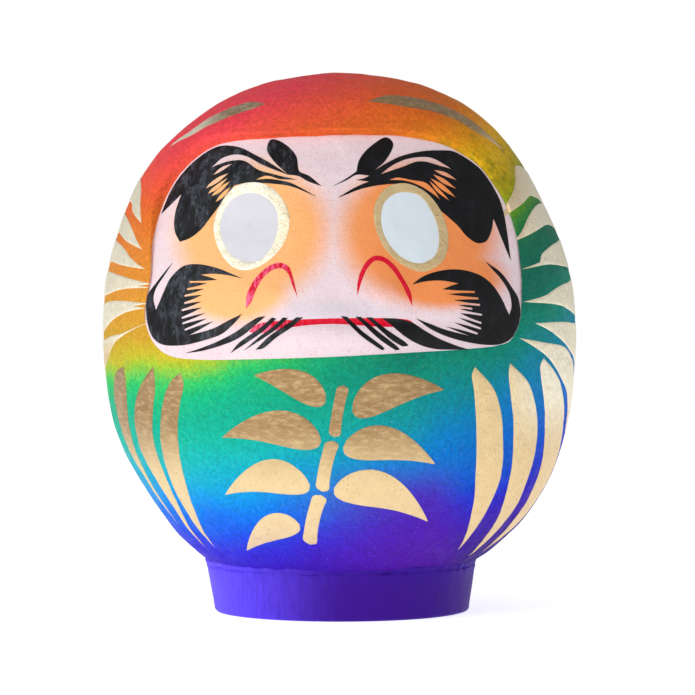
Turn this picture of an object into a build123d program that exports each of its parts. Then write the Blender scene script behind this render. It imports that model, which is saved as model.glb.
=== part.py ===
from build123d import *
import os
from math import cos, radians, sin, sqrt

# A daruma doll, in millimetres. The face looks along -Y, +Z is up, and the origin is the centre of
# the flat underside. The body is a hollow moulded-paper shell in two halves, joined by a pasted
# strip and glued to a foot ring that a clay weight fills. The paint lies on it in thin coats.
# "left" and "right" are the sides that a viewer in front of the doll sees: left is -X.

# ---------------------------------------------------------------- driving dimensions
total_height = 240.0
body_radius = 106.0
waist_height = 122.0            # where the body is widest
roundness = 2.25                # superellipse exponent: 2 is an ellipse, more is squarer
drop = 116.0                    # from the waist down to where the body's curve would close
wall = 2.6                      # moulded paper
mouth_height = 12.0             # the shell's open lower edge

foot_bottom_radius = 57.0
foot_top_radius = 60.4
foot_top = 25.0                 # the ring is made this tall, and the body's curve trims it
foot_wall = 2.4
foot_edge = 1.6                 # rounding of the ring's lower outer edge

glue_radius = 1.1               # the bead squeezed out where the body meets the ring

board_thickness = 2.0
seal_thickness = 0.3            # paper pasted under the board
fit_gap = 0.2                   # between the ring and what lies in it
weight_shoulder = 17.0          # top of the clay at the ring
weight_crown = 27.0             # top of the clay through the shell's mouth

seam_width = 26.0
seam_paper = 0.6
seam_gap = 0.1                  # paste between the strip and the shell

coat = 0.3                      # thickness of one coat of paint

face_top = 207.0
face_bottom = 113.7
face_half_width = 80.0
face_front = 105.0              # how far forward the face is at its chin
face_shift = 2.0                # the face's own upright axis lies this far behind the body's
face_lean = 17.0                # the larger, the more upright the face
chin_height = 110.0

nose_root = 4.0                 # how deep the nose's sections are centred behind the face
nose_sections = [               # height, half width, how far it stands out of the face
    (190, 7, 2),
    (174, 9, 5),
    (157, 17, 8),
    (143, 29, 10.5),
    (135, 29, 9.5),
    (129, 19, 2),
]

hood_roll_radius = 9.0
hood_roll_depth = 5.0           # how deep the roll's centre lies under the body's surface

rise = total_height - waist_height
reach = 2 * body_radius         # long enough to pass any outline right through one side


# ---------------------------------------------------------------- the doll's form
def body_radius_at(z, inset=0.0):
    """The body's radius at height z, with its surface moved in by inset."""
    half = (rise if z > waist_height else drop) - inset
    share = min(1.0, abs(z - waist_height) / half)
    return (body_radius - inset) * (1 - share**roundness) ** (1 / roundness)


def body_profile(inset, low):
    """The superellipse profile as (radius, height), from height low up to the pole."""
    points = [(body_radius_at(low, inset), low)]
    for degrees in range(-50, 90, 10):
        angle = radians(degrees)
        half = -(drop - inset) if degrees < 0 else rise - inset
        radius = (body_radius - inset) * cos(angle) ** (2 / roundness)
        points.append((radius, waist_height + half * abs(sin(angle)) ** (2 / roundness)))
    points.append((0, total_height - inset))
    return points


def turned(profile, top, low):
    """A solid turned about Z from a profile that runs from height low up to height top."""
    with BuildPart() as solid:
        with BuildSketch(Plane.XZ):
            with BuildLine():
                side = Spline(*profile)
                Polyline(side @ 1, (0, top), (0, low), side @ 0)
            make_face()
        revolve(axis=Axis.Z)
    return solid.part


def body_form(inset, low):
    """The body without its face or hood."""
    with BuildPart() as solid:
        with BuildSketch(Plane.XZ):
            with BuildLine():
                side = Spline(*body_profile(inset, low))
                Polyline(side @ 1, (0, low), side @ 0)
            make_face()
        revolve(axis=Axis.Z)
    return solid.part


def face_depth(z):
    """How far forward the middle of the face is at height z, without the nose."""
    return face_front - ((z - chin_height) / face_lean) ** 2


def face_form(inset):
    """The rounded form that the face is part of, bent round its own upright axis."""
    heights = range(95, 231, 15)
    profile = [(face_depth(z) + face_shift - inset, z) for z in heights]
    return turned(profile, 230, 95).moved(Location((0, face_shift, 0)))


def nose_form(inset):
    with BuildPart() as nose:
        for height, half_width, stand_out in nose_sections:
            middle = (0, nose_root - face_depth(height), height)
            with BuildSketch(Plane(origin=middle, x_dir=(1, 0, 0), z_dir=(0, 0, 1))):
                Ellipse(half_width - inset, stand_out + nose_root - inset)
        loft()
    return nose.part


def face_outline(inset):
    """The edge of the face in the XZ plane, stretched to stand out by inset."""
    side = [(27, 206), (47, 203), (61, 195.5), (70, 182.5), (76.5, 163), (80, 143), (79.5, 129)]
    jaw = [(74, 118.5), (60, 114.8)]
    half_edge = [(0, face_top), *side, *jaw, (0, face_bottom)]
    middle = (face_top + face_bottom) / 2
    wider = 1 + inset / face_half_width
    taller = 1 + inset / (face_top - middle)
    points = [(x * wider, middle + (z - middle) * taller) for x, z in half_edge]
    with BuildSketch(Plane.XZ) as outline:
        with BuildLine():
            edge = Spline(*points, tangents=((1, 0), (-1, 0)))
            Line(edge @ 1, edge @ 0)
        make_face()
        mirror(about=Plane.YZ)
    return outline.sketch


def under_surface(x, z, depth):
    """The point of the body's front at (x, z), moved towards the body's middle by depth."""
    surface = Vector(x, -sqrt(body_radius_at(z) ** 2 - x * x), z)
    inward = (Vector(0, 0, waist_height) - surface).normalized()
    return surface + inward * depth


def hood_roll(inset):
    """The hood's rolled brow: it runs over the face and sinks into the body at both temples."""
    crest = [(0, 222.5), (30, 219), (53, 209), (70, 192), (80, 172)]
    half = [under_surface(x, z, hood_roll_depth) for x, z in crest]
    half.append(under_surface(86, 150, 2 * hood_roll_radius))
    path = [Vector(-p.X, p.Y, p.Z) for p in reversed(half[1:])] + half
    with BuildPart() as roll:
        with BuildLine() as line:
            Spline(*path)
        with BuildSketch(Plane(origin=line.line @ 0, z_dir=line.line % 0)):
            Circle(hood_roll_radius - inset)
        sweep()
    return roll.part


def doll_form(inset, low):
    """The doll's outer form, cut flat at height low, with every surface moved in by inset."""
    with BuildPart(mode=Mode.PRIVATE) as opening:
        extrude(face_outline(inset), amount=reach)
        add(face_form(inset), mode=Mode.SUBTRACT)
        add(nose_form(inset), mode=Mode.SUBTRACT)
    with BuildPart() as solid:
        add(body_form(inset, low))
        add(hood_roll(inset))
        add(opening.part, mode=Mode.SUBTRACT)
    return solid.part


# ---------------------------------------------------------------- the shell and its seam
outer = doll_form(0, mouth_height)

with BuildPart() as shell:
    add(outer)
    add(doll_form(wall, mouth_height - 1), mode=Mode.SUBTRACT)

with BuildPart() as front_shell:
    add(shell.part)
    Box(2 * reach, reach, 3 * reach, align=(Align.CENTER, Align.MAX, Align.CENTER),
        mode=Mode.INTERSECT)

with BuildPart() as rear_shell:
    add(shell.part)
    Box(2 * reach, reach, 3 * reach, align=(Align.CENTER, Align.MIN, Align.CENTER),
        mode=Mode.INTERSECT)

# One pasted strip bridges the joint on the inside, from one side of the mouth over the crown.
with BuildPart() as seam_strip:
    add(body_form(wall + seam_gap, 2 * mouth_height))
    add(body_form(wall + seam_gap + seam_paper, mouth_height), mode=Mode.SUBTRACT)
    Box(2 * reach, seam_width, 3 * reach, mode=Mode.INTERSECT)


# ---------------------------------------------------------------- the foot
with BuildPart() as foot_ring:
    with BuildSketch(Plane.XZ):
        with BuildLine():
            Polyline(
                (foot_bottom_radius - foot_wall, 0),
                (foot_bottom_radius, 0),
                (foot_top_radius, foot_top),
                (foot_top_radius - foot_wall, foot_top),
                close=True,
            )
        make_face()
    revolve(axis=Axis.Z)
    rim = foot_ring.edges().group_by(Axis.Z)[0].sort_by(SortBy.RADIUS)[-1]
    fillet(rim, foot_edge)
    add(outer, mode=Mode.SUBTRACT)

joint_height = foot_ring.part.bounding_box().max.Z
with BuildPart() as glue_bead:
    with BuildSketch(Plane.XZ):
        with Locations((foot_top_radius + 0.4 * glue_radius, joint_height)):
            Circle(glue_radius)
    revolve(axis=Axis.Z)
    add(outer, mode=Mode.SUBTRACT)
    add(foot_ring.part, mode=Mode.SUBTRACT)

inner_radius = foot_bottom_radius - foot_wall - fit_gap

with BuildPart() as base_seal:
    Cylinder(inner_radius, seal_thickness, align=(Align.CENTER, Align.CENTER, Align.MIN))

with BuildPart() as base_board:
    with BuildSketch(Plane.XY.offset(seal_thickness)):
        Circle(inner_radius)
    extrude(amount=board_thickness)

# Clay packed on the board fills the ring up to the shell and domes up through its mouth.
board_top = seal_thickness + board_thickness
with BuildPart() as base_weight:
    with BuildSketch(Plane.XZ):
        with BuildLine():
            dome = ThreePointArc(
                (0, weight_crown), (22, weight_crown - 3), (37, mouth_height + 0.5)
            )
            Polyline(dome @ 1, (inner_radius, weight_shoulder), (inner_radius, board_top),
                     (0, board_top), dome @ 0)
        make_face()
    revolve(axis=Axis.Z)
    add(shell.part, mode=Mode.SUBTRACT)


# ---------------------------------------------------------------- coats of paint
# Each coat is a thin layer: one lies on the body and its hood, two more on the face and its nose.
def face_layer(inset, below):
    """The layer over the face and nose whose outer side is at inset and inner side at below."""
    with BuildPart() as layer:
        add(face_form(inset))
        add(nose_form(inset))
        add(face_form(below), mode=Mode.SUBTRACT)
        add(nose_form(below), mode=Mode.SUBTRACT)
    return layer.part


face_white = face_layer(-coat, 0)
face_strokes = face_layer(-2 * coat, -coat)

with BuildPart() as body_layer:
    add(body_form(-coat, mouth_height))
    add(hood_roll(-coat))
    add(body_form(0, mouth_height - 1), mode=Mode.SUBTRACT)
    add(hood_roll(0), mode=Mode.SUBTRACT)
body_coat = body_layer.part


def painted(outline, layer):
    """The part of a layer that lies in front of an outline."""
    with BuildPart() as film:
        extrude(outline, amount=reach)
        add(layer, mode=Mode.INTERSECT)
    return film.part


def strokes(brush, plane=Plane.XZ):
    """Outlines of brush strokes, each from its start, along both its sides, to its end."""
    with BuildSketch(plane) as shape:
        for start, one_side, other_side, end in brush:
            with BuildLine():
                ThreePointArc(start, one_side, end)
                ThreePointArc(start, other_side, end)
            make_face()
    return shape.sketch


def pair(label, outline, layer):
    """The same paint on the right (+X) and, mirrored, on the left (-X)."""
    right = painted(outline, layer)
    left = mirror(right, about=Plane.YZ)
    right.label = f"{label}_right"
    left.label = f"{label}_left"
    return [right, left]


def single(label, outline, layer):
    film = painted(outline, layer)
    film.label = label
    return [film]


def turned_plane(degrees):
    """An upright plane that faces this far round from the front towards +X."""
    angle = radians(degrees)
    return Plane(origin=(0, 0, 0), x_dir=(cos(angle), sin(angle), 0),
                 z_dir=(sin(angle), -cos(angle), 0))


eye_middle = (33.0, 168.5)
eye_half_width, eye_half_height = 13.0, 15.6
eye_ring_width = 3.0

with BuildSketch(Plane.XZ) as eye:
    with Locations(eye_middle):
        Ellipse(eye_half_width, eye_half_height)

with BuildSketch(Plane.XZ) as eye_ring:
    with Locations(eye_middle):
        Ellipse(eye_half_width + eye_ring_width, eye_half_height + eye_ring_width)
        Ellipse(eye_half_width, eye_half_height, mode=Mode.SUBTRACT)

# A brow is a crescent with a round head over the nose and a full lobe at the temple.
with BuildSketch(Plane.XZ) as brow:
    add(strokes([((3, 183), (40, 204), (38, 190), (71, 163))]))
    with Locations((15, 196)):
        Ellipse(8, 7)
    with Locations((61, 173)):
        Ellipse(9, 14)

# A cheek's whiskers curl round the corner of the mouth.
with BuildSketch(Plane.XZ) as whisker:
    with BuildLine():
        Spline((36, 144.5), (46, 149.5), (60, 150), (72, 142), (77, 131), (75, 121), (66, 118),
               (53, 119.5), (42, 126), (51, 126), (57, 133), (51, 141.5), periodic=True)
    make_face()

mouth = strokes([((-36, 126.5), (0, 126), (0, 128.6), (36, 126.5))])
moustache = strokes([
    ((14, 124.5), (33, 122.5), (32, 118.5), (48, 116.5)),
    ((2, 125.5), (13, 121.5), (12, 120.5), (22, 117)),
    ((7, 125.5), (17, 121), (16, 120), (25, 116.8)),
])
nostril = strokes([((10, 138), (19, 149), (18.5, 147), (29, 137))])

rays = strokes([
    ((-17, 174), (-7, 184), (-5, 177), (6, 188)),
    ((-13, 165), (0, 174), (2, 166), (16, 177)),
    ((-13, 153), (5, 160), (7, 151), (25, 158)),
    ((-14, 138), (7, 143), (8, 133), (29, 138)),
    ((-11, 128), (10, 128), (10, 118), (30, 119)),
    ((-22, 121), (6, 116), (5, 110), (26, 99)),
], turned_plane(62))

ribs = strokes([
    ((-31, 109), (-29, 78), (-13, 80), (-5.5, 31)),
    ((-12, 110), (-11, 74), (8, 76), (8, 28)),
    ((10, 112), (16, 74), (36, 76), (25, 28)),
], turned_plane(52))

hood_gold = strokes([((18, 224.5), (45, 223.5), (45, 218.5), (75, 205))])

# The belly carries a sprig of bamboo: three lengths of stem and six leaves.
sprig = strokes([
    ((-6, 34), (-3.5, 48), (0, 48), (2, 62)),
    ((2, 64), (2, 75), (5, 75), (5, 86)),
    ((5, 88), (4, 96), (7, 96), (6, 104)),
    ((0, 60), (20, 57), (17, 48), (40, 44)),
    ((4, 66), (24, 70), (25, 61), (46, 64)),
    ((-1, 59), (-21, 56), (-19, 47), (-44, 42)),
    ((1, 67), (-20, 69), (-20, 59), (-46, 58)),
    ((6, 88), (23, 96), (24, 88), (41, 92)),
    ((4, 88), (-15, 95), (-15, 86), (-36, 90)),
])

films = [
    *single("face_ground", face_outline(-2 * coat), face_white),
    *pair("eye", eye.sketch, face_strokes),
    *pair("eye_ring", eye_ring.sketch, face_strokes),
    *pair("brow", brow.sketch, face_strokes),
    *pair("whisker", whisker.sketch, face_strokes),
    *pair("moustache", moustache - mouth, face_strokes),
    *single("mouth_line", mouth, face_strokes),
    *pair("nostril_line", nostril, face_strokes),
    *pair("gold_rays", rays, body_coat),
    *pair("gold_ribs", ribs, body_coat),
    *pair("hood_gold", hood_gold, body_coat),
    *single("belly_sprig", sprig, body_coat),
]

# ---------------------------------------------------------------- write one file for each piece
front_shell.part.label = "front_shell"
rear_shell.part.label = "rear_shell"
seam_strip.part.label = "seam_strip"
foot_ring.part.label = "foot_ring"
glue_bead.part.label = "glue_bead"
base_weight.part.label = "base_weight"
base_board.part.label = "base_board"
base_seal.part.label = "base_seal"
structure = [front_shell, rear_shell, seam_strip, foot_ring, glue_bead, base_weight, base_board,
             base_seal]

os.makedirs("parts", exist_ok=True)
for piece in [*(block.part for block in structure), *films]:
    export_step(piece, f"parts/{piece.label}.step")
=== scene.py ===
"""A daruma doll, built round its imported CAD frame.

Shapes are worked out in millimetres, in the frame's axes: +Z is up and the face looks along -Y.
A point on the doll is named by its azimuth (degrees from the front, positive towards +X) and
height, or on the face by its x and height. "left" is the side at -X, a viewer's left.
"""

from math import cos, pi, radians, sin

import bpy
import numpy as np
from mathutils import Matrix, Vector
from mathutils.geometry import delaunay_2d_cdt


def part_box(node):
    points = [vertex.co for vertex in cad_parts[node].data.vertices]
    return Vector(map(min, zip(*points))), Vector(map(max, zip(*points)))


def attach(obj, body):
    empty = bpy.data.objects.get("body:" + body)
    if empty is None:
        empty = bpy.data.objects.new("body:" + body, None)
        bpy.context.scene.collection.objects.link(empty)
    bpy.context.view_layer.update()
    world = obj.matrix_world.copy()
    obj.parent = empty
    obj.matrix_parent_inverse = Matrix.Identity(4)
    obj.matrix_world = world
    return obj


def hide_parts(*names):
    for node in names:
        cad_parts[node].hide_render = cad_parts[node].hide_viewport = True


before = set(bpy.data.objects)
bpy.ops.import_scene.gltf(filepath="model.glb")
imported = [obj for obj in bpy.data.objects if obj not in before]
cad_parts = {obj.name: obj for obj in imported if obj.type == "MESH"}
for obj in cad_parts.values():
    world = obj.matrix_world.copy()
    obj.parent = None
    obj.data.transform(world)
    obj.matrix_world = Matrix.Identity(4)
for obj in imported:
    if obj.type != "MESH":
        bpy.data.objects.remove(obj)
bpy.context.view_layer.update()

MM = 0.001

# ------------------------------------------------------------ sizes, from the frame and part.py
shell_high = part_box("rear_shell")[1]
foot_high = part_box("foot_ring")[1]
TOP = shell_high.z / MM
RADIUS = shell_high.x / MM
WAIST = 122.0                   # height where the body is widest
DROP = 116.0                    # from the waist down to where the body's curve would close
RISE = TOP - WAIST
ROUND = RADIUS * pi / 180       # millimetres round the waist for a degree of azimuth
ROUNDNESS = 2.25                # superellipse exponent of the body's profile
BODY_LOW_EDGE = 18.0            # where the shell ends inside the foot
FACE_HEIGHTS = (106.0, 226.0)   # the face and hood, where the shell's mesh is finest

FACE_FRONT = 105.0              # how far forward the face is at its chin
FACE_LEAN = 17.0
FACE_BEND = 107.0               # radius that the face is bent to from side to side
CHIN = 110.0
FACE_EDGE = [(0, 113.7), (-30, 112.8), (-54.5, 112.5), (-66, 113.5), (-72, 115.7), (-76.3, 120),
             (-79, 125.5), (-80.2, 132), (-79.5, 139), (-78, 147), (-77.8, 156), (-77, 165),
             (-74.8, 175), (-70.5, 185), (-65.3, 192.5), (-58.5, 199.2), (-50, 203.7), (-41, 205.3),
             (-25, 206.2), (0, 207.2), (22, 207), (37, 205.5), (46, 203.7), (53, 200.7),
             (60.3, 195.5), (66.4, 188), (71.2, 180.5), (76.5, 168.5), (79, 160), (80.4, 150.5),
             (80.5, 143.5), (79.6, 134), (78, 126.5), (74.5, 120.5), (69, 118.5), (56.5, 117),
             (24, 115), (0, 113.7)]
HOOD_ROLL = 4.2                 # how far the hood's rolled edge stands out
HOOD_CREST = [(0, 222.5), (30, 219), (53, 209), (70, 192), (80, 172), (86, 150)]

FOOT_TOP_RADIUS = foot_high.x / MM
FOOT_BOTTOM_RADIUS = 57.0
FOOT_INSIDE = 54.6
FOOT_HEIGHT = foot_high.z / MM
FOOT_EDGE = 1.8                 # rounding of the ring's lower outer edge

GROUND = 0.12                   # the coats of paint: white under all others on the face
PALE_COAT = 0.08                # eye whites and red lines
DARK_COAT = 0.1
GOLD_COAT = 0.2
RING_COAT = 0.15                # the gold round the eyes
FILM_EDGE = 0.07                # a coat's thickness at its very edge
FILM_DEPTH = 0.3                # how far a coat's underside reaches into the surface


# ------------------------------------------------------------ curves and noise
def smooth_line(points, spacing=0.7):
    """Points about spacing apart along a centripetal Catmull-Rom curve through the given points."""
    given = np.array(points, float)
    ends = [2 * given[0] - given[1], *given, 2 * given[-1] - given[-2]]
    line = [given[0]]
    for a, b, c, d in zip(ends, ends[1:], ends[2:], ends[3:]):
        knots = np.cumsum([0] + [max(np.linalg.norm(q - p), 1e-6) ** 0.5
                                 for p, q in ((a, b), (b, c), (c, d))])
        count = max(2, int(np.ceil(np.linalg.norm(c - b) / spacing)))
        t = np.linspace(knots[1], knots[2], count + 1)[1:, None]
        t0, t1, t2, t3 = knots
        ab = (a * (t1 - t) + b * (t - t0)) / (t1 - t0)
        bc = (b * (t2 - t) + c * (t - t1)) / (t2 - t1)
        cd = (c * (t3 - t) + d * (t - t2)) / (t3 - t2)
        abc = (ab * (t2 - t) + bc * (t - t0)) / (t2 - t0)
        bcd = (bc * (t3 - t) + cd * (t - t1)) / (t3 - t1)
        line.extend((abc * (t2 - t) + bcd * (t - t1)) / (t2 - t1))
    return np.array(line)


def mirrored_line(half):
    """A half line that starts at x = 0, made whole across it."""
    half = np.asarray(half, float)
    return np.vstack([half[:0:-1] * (-1, 1), half])


def nearest(points, line):
    """For each 2-D point: distance to a polyline, share of the way along it, and which side."""
    best = np.full(len(points), 1e9)
    share = np.zeros(len(points))
    side = np.zeros(len(points))
    lengths = np.linalg.norm(np.diff(line, axis=0), axis=1)
    before = np.concatenate([[0], np.cumsum(lengths)])
    for i, (start, step) in enumerate(zip(line, np.diff(line, axis=0))):
        offset = points - start
        t = np.clip(offset @ step / (lengths[i] ** 2), 0, 1)
        gap = np.linalg.norm(offset - t[:, None] * step, axis=1)
        closer = gap < best
        best[closer] = gap[closer]
        share[closer] = (before[i] + t[closer] * lengths[i]) / before[-1]
        turn = step[0] * offset[:, 1] - step[1] * offset[:, 0]
        side[closer] = np.sign(turn[closer])
    return best, share, side


def inside(points, loop):
    """Whether each 2-D point lies in a closed loop."""
    result = np.zeros(len(points), bool)
    x, y = points.T
    for (x0, y0), (x1, y1) in zip(loop, np.roll(loop, -1, axis=0)):
        if y0 != y1:
            crosses = (y0 > y) != (y1 > y)
            result ^= crosses & (x < (x1 - x0) * (y - y0) / (y1 - y0) + x0)
    return result


def ease(t):
    t = np.clip(t, 0, 1)
    return t * t * (3 - 2 * t)


def bell(x, z, middle, spread):
    return np.exp(-((x - middle[0]) / spread[0]) ** 2 - ((z - middle[1]) / spread[1]) ** 2)


def smooth_table(points, softness):
    """A function that follows straight runs between points, rounded off by softness."""
    where, what = np.array(points, float).T
    fine = np.arange(where.min() - 4 * softness, where.max() + 4 * softness, softness / 8)
    weights = np.exp(-np.linspace(-2, 2, 33) ** 2)
    level = np.pad(np.interp(fine, where, what), 16, "edge")
    level = np.convolve(level, weights / weights.sum(), "valid")
    return lambda x: np.interp(x, fine, level)


def waves(points, size, seed, count=40):
    """Smooth random unevenness, about -1 to 1, whose lumps are about size across."""
    source = np.random.default_rng(seed)
    directions = source.normal(size=(count, 3))
    directions /= np.linalg.norm(directions, axis=1)[:, None]
    pitch = 2 * pi / (2 * size * source.uniform(0.7, 1.4, count))
    phase = source.uniform(0, 2 * pi, count)
    total = np.zeros(len(points))
    for direction, k, start in zip(directions, pitch, phase):
        total += np.sin(points @ direction * k + start)
    return total / (count / 2) ** 0.5 / 2


# ------------------------------------------------------------ the doll's surface
def body_radius(height):
    half = np.where(height > WAIST, RISE, DROP)
    level = np.clip(np.abs(height - WAIST) / half, 0, 1)
    return RADIUS * (1 - level**ROUNDNESS) ** (1 / ROUNDNESS)


face_edge = smooth_line(FACE_EDGE, 1.2)
hood_crest = smooth_line(mirrored_line(HOOD_CREST), 1.5)
nose_height = smooth_table(
    [(192, 0), (182, 1.2), (170, 3), (158, 5.2), (148, 7.8), (141, 9.6), (136, 8.6), (131, 2),
     (129, 0)], 2.5)
nose_spread = smooth_table([(192, 7), (172, 9), (158, 14), (148, 21), (140, 26), (130, 26)], 3)


def face_forward(x, z):
    """How far forward the face's surface is."""
    middle = FACE_FRONT - ((z - CHIN) / FACE_LEAN) ** 2
    bend = FACE_BEND - np.sqrt(np.maximum(FACE_BEND**2 - x**2, 0))
    nose = nose_height(z) * np.exp(-np.abs(x / nose_spread(z)) ** 2.4)
    away = np.abs(x)
    wings = 1.8 * bell(away, z, (23, 140), (9, 6))
    sockets = -1.3 * bell(away, z, (31, 168), (18, 17))
    brows = 1.0 * bell(away, z, (30, 191), (26, 6))
    cheeks = 1.6 * bell(away, z, (50, 140), (20, 14))
    lip_valley = -1.1 * bell(x, z, (0, 128), (44, 2.2))
    lower_lip = 0.8 * bell(x, z, (0, 122), (36, 4))
    return middle - bend + nose + wings + sockets + brows + cheeks + lip_valley + lower_lip


def moulding(angle, height):
    """How far the uneven shell swells: its right shoulder is flat, its left flank slim low down."""
    rightward = ease((np.sin(angle) - 0.3) / 0.5)
    leftward = ease((-np.sin(angle) - 0.3) / 0.5)
    high, low = np.exp(-((height - 188) / 28) ** 2), np.exp(-((height - 50) / 25) ** 2)
    crown = np.exp(-((height - 217) / 16) ** 2)
    return rightward * (1.4 * low - 3.8 * high) - leftward * (2.6 * low + 1.4 * crown) - 0.6


def doll_surface(azimuth, ring, height):
    """Points of the finished surface over the ideal body's points."""
    angle = np.radians(azimuth)
    base = np.stack([ring * np.sin(angle), -ring * np.cos(angle), height], axis=1)
    half = np.where(height > WAIST, RISE, DROP)
    steep = (ring / RADIUS) ** (ROUNDNESS - 1) / RADIUS
    level = np.clip(np.abs(height - WAIST) / half, 0, 1) ** (ROUNDNESS - 1) / half
    out = np.stack([steep * np.sin(angle), -steep * np.cos(angle),
                    np.sign(height - WAIST) * level], axis=1)
    out /= np.linalg.norm(out, axis=1)[:, None]

    near = (base[:, 1] < 0) & (height > 95)
    chart = base[near][:, [0, 2]]
    base += out * moulding(angle, height)[:, None]

    gap, share, side = nearest(chart, hood_crest)
    spread = np.where(side > 0, 12.0, 7.5)
    fade = ease(share / 0.16) * ease((1 - share) / 0.16)
    fade *= 0.5 + 0.5 * ease(np.abs(chart[:, 0]) / 60)
    roll = HOOD_ROLL * fade * np.exp(-(gap / spread) ** 2)
    base[near] += out[near] * roll[:, None]

    x, z = chart.T
    gap, share, side = nearest(chart, face_edge)
    depth = np.where(inside(chart, face_edge), gap, -gap)
    above = ease((z - 150) / 50)
    sunk = ease((depth + 0.4 + 2.6 * above) / (0.9 + 2.2 * above))
    face = np.stack([x, -face_forward(x, z), z], axis=1)
    base[near] += sunk[:, None] * (face - base[near])

    uneven = 0.55 * waves(base, 26, 3) + 0.22 * waves(base, 9, 5) + 0.07 * waves(base, 3, 8)
    return base + out * uneven[:, None]


def on_doll(azimuth, height, lift):
    """Points at lift over the finished surface, and the surface's outward directions there."""
    step = 0.15
    ring = body_radius(height)
    here = doll_surface(azimuth, ring, height)
    sideways = doll_surface(azimuth + np.degrees(step / ring), ring, height) - here
    upward = doll_surface(azimuth, body_radius(height + step), height + step) - here
    out = np.cross(sideways, upward)
    out /= np.linalg.norm(out, axis=1)[:, None]
    return here + out * np.asarray(lift)[:, None], out


# ------------------------------------------------------------ meshes
def put_in_scene(name, data):
    thing = bpy.data.objects.new(name, data)
    bpy.context.scene.collection.objects.link(thing)
    return thing


def new_piece(name, points, faces, material, replaced=()):
    """A smooth mesh piece from points in millimetres, riding on the doll."""
    mesh = bpy.data.meshes.new(name)
    mesh.from_pydata((np.asarray(points) * MM).tolist(), [], faces)
    mesh.validate()
    mesh.polygons.foreach_set("use_smooth", [True] * len(mesh.polygons))
    mesh.set_sharp_from_angle(angle=radians(50))
    mesh.materials.append(material)
    piece = put_in_scene(name, mesh)
    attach(piece, "root")
    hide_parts(*replaced)
    return piece


def spread_out(low, high, pitch):
    """Values from low to high whose spacing follows pitch(value)."""
    values = [low]
    while values[-1] < high:
        values.append(values[-1] + pitch(values[-1]))
    values = np.array(values)
    return low + (values - low) * (high - low) / (values[-1] - low)


def ring_grid(rings, loop):
    """Faces of a grid of rings with loop points each, closed round the loop."""
    return [(r * loop + i, r * loop + (i + 1) % loop, (r + 1) * loop + (i + 1) % loop,
             (r + 1) * loop + i) for r in range(rings - 1) for i in range(loop)]


def make_body(material):
    """The shell with its face, nose and hood, closed at its low edge inside the foot."""
    profile_angle = np.linspace(-pi / 2, pi / 2, 6000)
    shape = 2 / ROUNDNESS
    ring = RADIUS * np.cos(profile_angle).clip(0) ** shape
    half = np.where(profile_angle > 0, RISE, DROP)
    height = WAIST + half * np.sign(profile_angle) * np.abs(np.sin(profile_angle)) ** shape
    length = np.concatenate([[0], np.cumsum(np.hypot(np.diff(ring), np.diff(height)))])
    start = np.interp(BODY_LOW_EDGE, height, length)
    face_start, face_end = np.interp(FACE_HEIGHTS, height, length)
    rows = spread_out(start, length[-1] - 0.6,
                      lambda s: 0.62 if face_start < s < face_end else 1.25)
    row_ring = np.interp(rows, length, ring)
    row_height = np.interp(rows, length, height)
    azimuths = spread_out(-180, 180, lambda a: 0.34 if abs(a) < 56 else 0.8)[:-1]
    loop = len(azimuths)
    points = doll_surface(np.tile(azimuths, len(rows)), np.repeat(row_ring, loop),
                          np.repeat(row_height, loop))
    faces = ring_grid(len(rows), loop)
    points = np.vstack([points, [[0, 0, TOP]], [[0, 0, row_height[0]]]])
    crown, floor = len(points) - 2, len(points) - 1
    last = (len(rows) - 1) * loop
    faces += [(last + i, last + (i + 1) % loop, crown) for i in range(loop)]
    faces += [((i + 1) % loop, i, floor) for i in range(loop)]
    return new_piece("body", points, faces, material, ("front_shell", "rear_shell"))


def make_foot(material):
    """The ring under the body, with the lumpy crease of paper and glue over its joint."""
    profile = [(FOOT_INSIDE, 0.0)]
    for degrees in range(-90, 1, 15):
        angle = radians(degrees)
        profile.append((FOOT_BOTTOM_RADIUS - FOOT_EDGE + FOOT_EDGE * cos(angle),
                        FOOT_EDGE + FOOT_EDGE * sin(angle)))
    for share in np.linspace(0.08, 1, 28):
        rise = FOOT_EDGE + (FOOT_HEIGHT - 1.2 - FOOT_EDGE) * share
        lean = (FOOT_TOP_RADIUS - FOOT_BOTTOM_RADIUS) * share
        profile.append((FOOT_BOTTOM_RADIUS + lean, rise))
    profile += [(FOOT_TOP_RADIUS - 0.3, FOOT_HEIGHT - 0.6), (FOOT_TOP_RADIUS, FOOT_HEIGHT + 0.3),
                (FOOT_TOP_RADIUS + 0.3, FOOT_HEIGHT + 1.2),
                (FOOT_TOP_RADIUS + 0.2, FOOT_HEIGHT + 2),
                (FOOT_TOP_RADIUS - 1.5, FOOT_HEIGHT + 2), (FOOT_INSIDE, FOOT_HEIGHT - 2)]
    azimuths = np.radians(np.arange(0, 360, 0.8))
    loop = len(azimuths)
    profile = np.array(profile)
    ring = np.repeat(profile[:, 0], loop)
    height = np.repeat(profile[:, 1], loop)
    angle = np.tile(azimuths, len(profile))
    points = np.stack([ring * np.sin(angle), -ring * np.cos(angle), height], axis=1)
    out = np.stack([np.sin(angle), -np.cos(angle), 0 * angle], axis=1)
    crease = ease((height - FOOT_HEIGHT + 3) / 3)
    shell = ease((ring - FOOT_INSIDE - 0.5) / 1)
    uneven = 0.3 * waves(points, 22, 21) + 0.1 * waves(points, 6, 22)
    points += out * (shell * (uneven + crease * 0.5 * waves(points, 4, 23)))[:, None]
    points[:, 2] += crease * 0.7 * waves(points * (1, 1, 0), 9, 24)
    points[:, 0] += 0.6 * shell
    faces = ring_grid(len(profile), loop)
    last = (len(profile) - 1) * loop
    faces += [(last + i, last + (i + 1) % loop, (i + 1) % loop, i) for i in range(loop)]
    return new_piece("foot", points, faces, material, ("foot_ring", "glue_bead"))


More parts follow.
